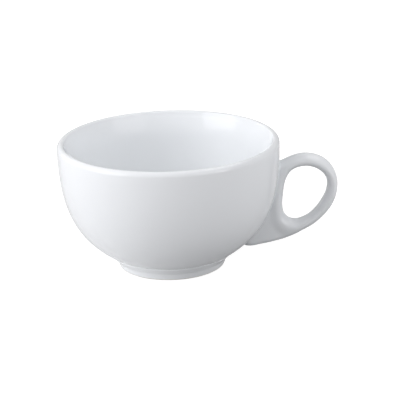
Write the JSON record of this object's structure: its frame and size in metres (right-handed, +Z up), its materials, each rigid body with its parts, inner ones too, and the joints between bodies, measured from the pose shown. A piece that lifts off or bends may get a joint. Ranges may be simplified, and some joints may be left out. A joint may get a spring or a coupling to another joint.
{
  "type": "low cup",
  "caption": "Wide, low porcelain cup on a narrow foot ring, with a closed ear handle whose web runs down the wall to the foot.",
  "frame": {"origin": "centre of the foot ring, on the table", "axes": "+Z up along the bowl's axis, +X towards the handle, +Y across the handle"},
  "size_m": [0.1267, 0.1, 0.0586],
  "materials": {
    "glaze": "white porcelain under a clear gloss glaze",
    "slip": "fired porcelain slip"
  },
  "bodies": {
    "root": {"bowl": "glaze", "foot_ring": "glaze", "foot_slip": "slip", "handle": "glaze", "handle_slip": "slip"}
  },
  "joints": []
}
